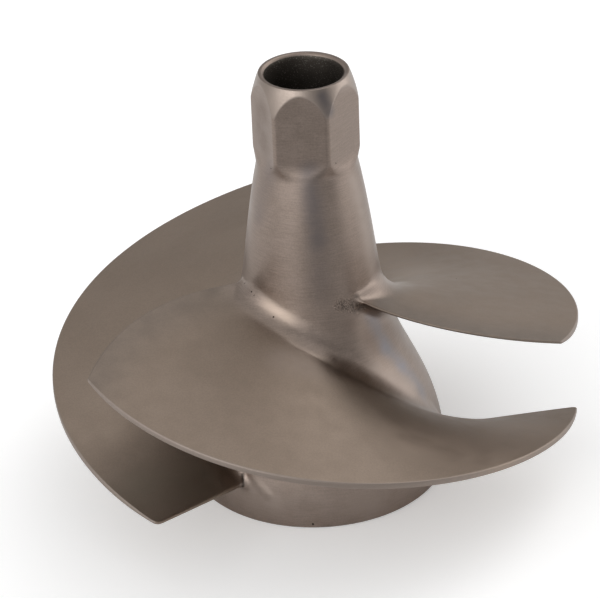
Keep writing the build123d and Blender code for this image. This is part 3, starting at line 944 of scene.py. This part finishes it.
def paint_zones(mesh):
    """Per-vertex weights for the material.

    "zones" holds, red: the hub. Green: turned surfaces. Blue: the bore and the hollow, painted dark as
    shade. Alpha: the root fillets.
    "lead" is 1 on a leading edge and 0 beyond LEAD_WIDTH from it.
    """
    points = np.empty(len(mesh.vertices) * 3)
    mesh.vertices.foreach_get("co", points)
    points = points.reshape(-1, 3) / MM
    radius = np.hypot(points[:, 0], points[:, 1])
    height = points[:, 2]
    hub = 1 - smooth_step((radius - body_radius(height) - HUB_FADE_START) / HUB_FADE)
    on_tip = radius > TIP_RADIUS - TIP_ZONE
    on_cone = (height > CONE_FOOT) & (radius > cone_radius(height) - 0.1)
    in_bore = (radius < MOUTH_RADIUS + 0.01) & (height > BORE_FOOT)
    in_hollow = (radius < RIM_BORE_RADIUS + 0.2) & (height > HOLLOW_ZONE[0]) & (height < HOLLOW_ZONE[1])
    bore = (in_bore | in_hollow) & (radius < body_radius(height) - BORE_WALL)
    to_root = nearest(on_each_blade(root_points))
    from_root = np.array([to_root(point) for point in points])
    fillet_zone = 1 - smooth_step((from_root - FILLET_ABOVE * 0.5) / FILLET_ABOVE)
    colours = np.stack([hub, on_tip | on_cone, bore, fillet_zone], axis=-1).astype(np.float32)
    mesh.attributes.new("zones", "FLOAT_COLOR", "POINT").data.foreach_set("color", colours.ravel())

    middle = LEAD.start + LEAD_CAP // 2
    edge = [blade_points(np.array([r]), which=slice(middle, middle + 1))[0]
            for r in np.arange(16, TIP_RADIUS, 0.5)]
    to_lead = nearest(on_each_blade(edge))
    from_lead = np.array([to_lead(point) for point in points])
    lead = (1 - smooth_step(from_lead / LEAD_WIDTH)).astype(np.float32)
    mesh.attributes.new("lead", "FLOAT", "POINT").data.foreach_set("value", lead)


paint_zones(impeller.data)
impeller.data.materials.append(satin_steel())
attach(impeller, "root")
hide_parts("impeller")

# --- paper floor ----------------------------------------------------------------------------------
PAPER_REACH, PAPER_FRONT = 3.0, -0.11        # metres; the sheet ends just in front of the object
PAPER_DROP = 0.0002
GLOW_IN_METAL, GLOW_IN_PICTURE = 0.1, 0.3


def paper():
    material = bpy.data.materials.new("paper")
    material.use_nodes = True
    graph = Graph(material.node_tree)
    shader = material.node_tree.nodes["Principled BSDF"]
    rays = graph.node("ShaderNodeLightPath").outputs
    glow = graph.times(rays["Is Glossy Ray"], GLOW_IN_METAL)
    glow = graph.times_add(rays["Is Camera Ray"], GLOW_IN_PICTURE, glow)
    for name, value in (("Base Color", (0.9, 0.9, 0.9, 1)), ("Roughness", 0.9), ("Specular IOR Level", 0.1),
                        ("Emission Color", (1, 1, 1, 1)), ("Emission Strength", glow)):
        graph.feed(shader.inputs[name], value)
    return material


floor_mesh = bpy.data.meshes.new("floor")
floor_mesh.from_pydata([(-PAPER_REACH, PAPER_FRONT, 0), (PAPER_REACH, PAPER_FRONT, 0),
                        (PAPER_REACH, PAPER_REACH, 0), (-PAPER_REACH, PAPER_REACH, 0)], [], [(0, 1, 2, 3)])
floor_mesh.materials.append(paper())
floor = bpy.data.objects.new("floor", floor_mesh)
floor.location.z = -PAPER_DROP
bpy.context.scene.collection.objects.link(floor)

# --- light: a pale surround with soft boxes and, where the strength is below zero, dark cards -----
SURROUND, BOX_SHARPNESS = 0.8, 14.0
SOFT_BOXES = ((0, -5, 2.1), (30, -5, 1.3), (210, 20, 1.3), (240, 20, 2.4), (45, 45, 1.6), (54, 68, 0.5),
              (270, -30, -0.38), (330, -5, -0.3), (90, 20, -0.3), (300, 20, -0.3), (330, 20, -0.3),
              (90, 45, -0.25))               # azimuth, elevation and strength


def studio():
    """The world: the studio to the object and the floor, plain white to the camera."""
    world = bpy.data.worlds.new("studio")
    world.use_nodes = True
    world.node_tree.nodes.clear()
    sky = Graph(world.node_tree)
    way = sky.node("ShaderNodeTexCoord").outputs["Generated"]
    total = SURROUND
    for azimuth, elevation, strength in SOFT_BOXES:
        turn, rise = radians(azimuth), radians(elevation)
        box = (cos(rise) * cos(turn), cos(rise) * sin(turn), sin(rise))
        facing = sky.vector("DOT_PRODUCT", way, box, "Value")
        lobe = sky.math("EXPONENT", sky.times_add(facing, BOX_SHARPNESS, -BOX_SHARPNESS))
        total = sky.times_add(lobe, strength, total)
    light = sky.node("ShaderNodeBackground")
    sky.feed(light.inputs["Strength"], sky.math("MAXIMUM", total, 0.0))
    white = sky.feed_all(sky.node("ShaderNodeBackground"), (1, 1, 1, 1), 1.0)
    to_camera = sky.node("ShaderNodeLightPath").outputs["Is Camera Ray"]
    seen = sky.feed_all(sky.node("ShaderNodeMixShader"), to_camera, light.outputs[0], white)
    sky.feed(sky.node("ShaderNodeOutputWorld").inputs["Surface"], seen)
    return world


scene = bpy.context.scene
scene.world = studio()
scene.view_settings.view_transform = "Standard"

# --- camera, fitted to the photograph's outline ---------------------------------------------------
CAMERA_TILT, CAMERA_DISTANCE, CAMERA_AIM = 0.5164, 917.65, 60.0   # radians down, and height aimed at
YAW, PITCH, ROLL = -0.0039, -0.0045, -0.0382
SENSOR, FOCAL_PIXELS, PICTURE_WIDTH = 36.0, 3146.8, 600

ahead = Vector((0, cos(CAMERA_TILT), -sin(CAMERA_TILT)))
right = Vector((1, 0, 0))
up = right.cross(ahead)
ahead, right = ahead * cos(YAW) + right * sin(YAW), right * cos(YAW) - ahead * sin(YAW)
ahead, up = ahead * cos(PITCH) + up * sin(PITCH), up * cos(PITCH) - ahead * sin(PITCH)
right, up = right * cos(ROLL) + up * sin(ROLL), up * cos(ROLL) - right * sin(ROLL)
place = Vector((0, -CAMERA_DISTANCE * cos(CAMERA_TILT), CAMERA_AIM + CAMERA_DISTANCE * sin(CAMERA_TILT)))
camera_data = bpy.data.cameras.new("camera")
camera_data.sensor_width = SENSOR
camera_data.lens = FOCAL_PIXELS / PICTURE_WIDTH * SENSOR
camera_data.clip_start, camera_data.clip_end = 0.01, 20
camera = bpy.data.objects.new("camera", camera_data)
camera.matrix_world = Matrix.Translation(place * MM) @ Matrix((right, up, -ahead)).transposed().to_4x4()
scene.collection.objects.link(camera)
scene.camera = camera
